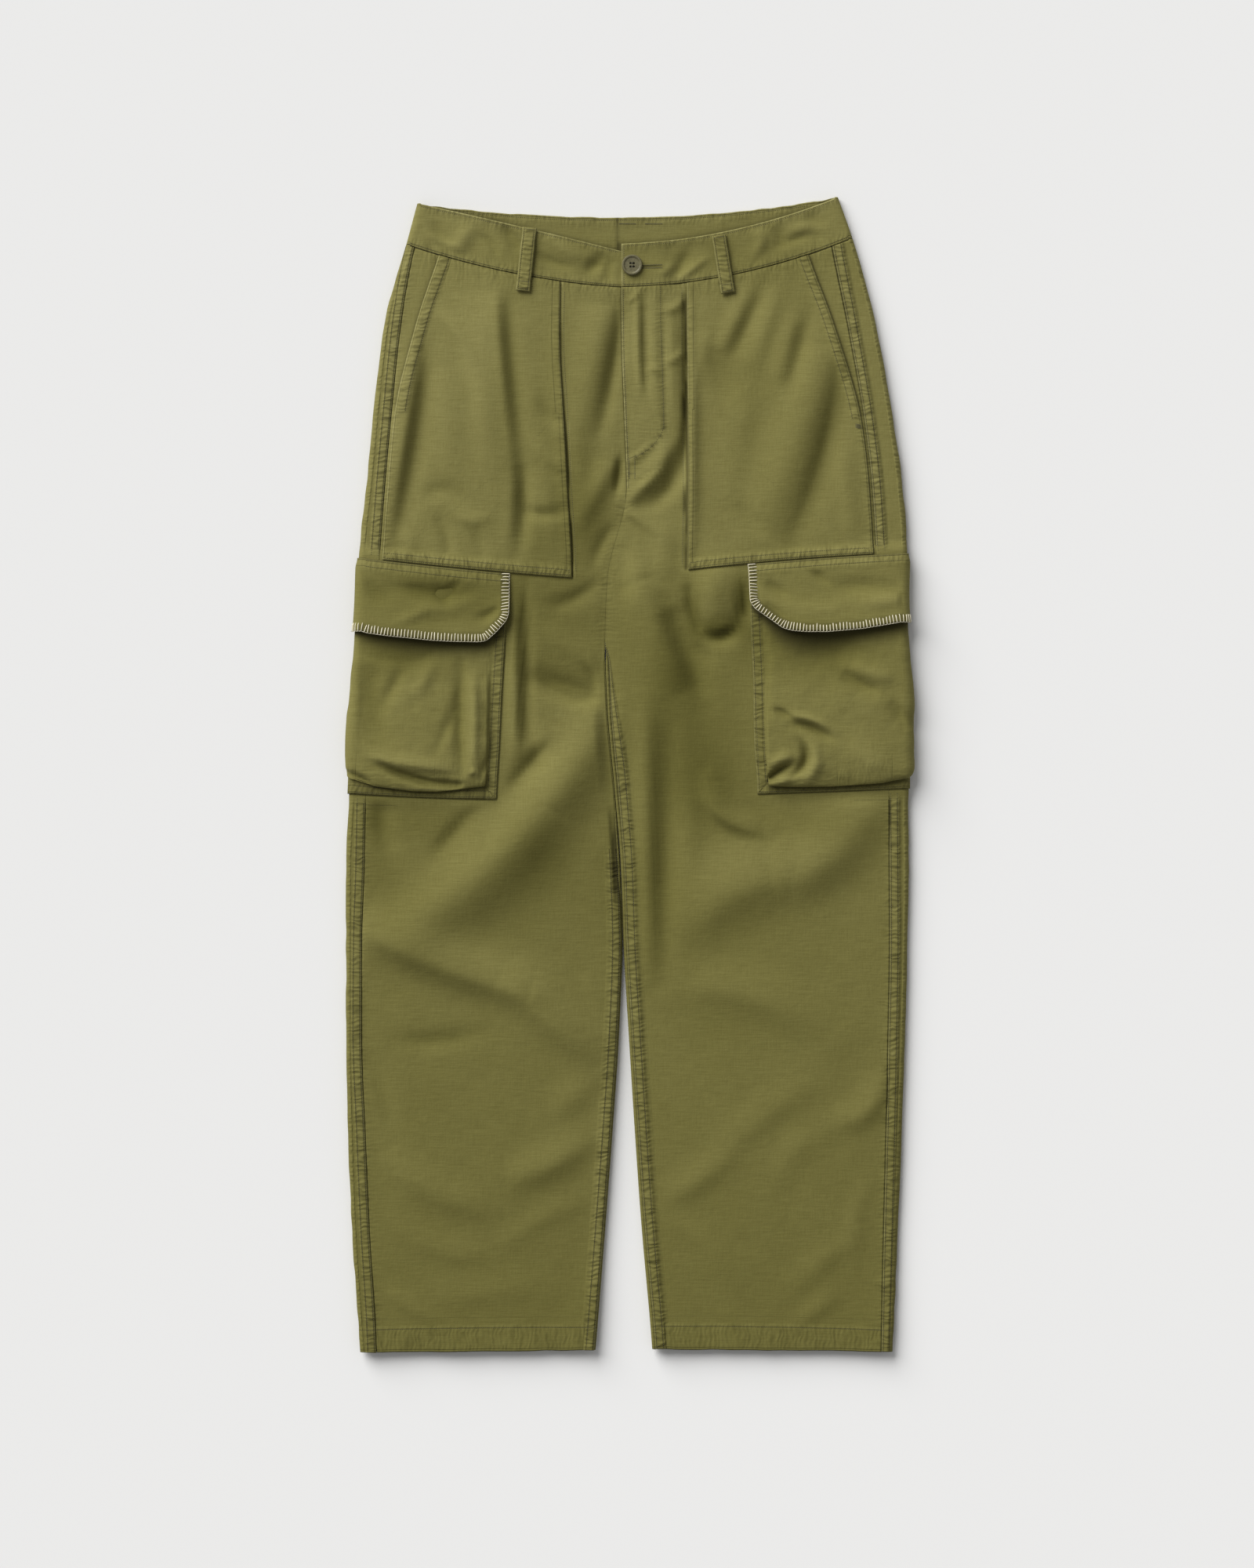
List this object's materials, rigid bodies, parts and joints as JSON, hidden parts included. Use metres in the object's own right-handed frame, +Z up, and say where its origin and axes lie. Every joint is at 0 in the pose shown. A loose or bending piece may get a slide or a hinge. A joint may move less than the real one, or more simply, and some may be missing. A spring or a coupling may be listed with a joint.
{
  "type": "cargo trousers",
  "caption": "Straight-legged cargo trousers laid flat, with slanted front patch pockets, bellows thigh pockets with flaps, belt loops and a button fly.",
  "frame": {"origin": "on the table under the middle of the garment's box", "axes": "+X to the right seen from above, where the wearer's left leg lies; +Y from hems to waist; +Z up off the table"},
  "size_m": [0.5111, 1.0325, 0.0228],
  "materials": {
    "canvas": "washed matt cotton canvas",
    "button": "satin"
  },
  "bodies": {
    "root": {"front_panel_right": "canvas", "back_panel_right": "canvas", "waistband_right": "canvas", "patch_pocket_right": "canvas", "cargo_pocket_right": "canvas", "cargo_flap_right": "canvas", "front_panel_left": "canvas", "back_panel_left": "canvas", "waistband_left": "canvas", "patch_pocket_left": "canvas", "cargo_pocket_left": "canvas", "cargo_flap_left": "canvas", "belt_loop_front_right": "canvas", "belt_loop_front_left": "canvas", "button": "button"}
  },
  "joints": []
}
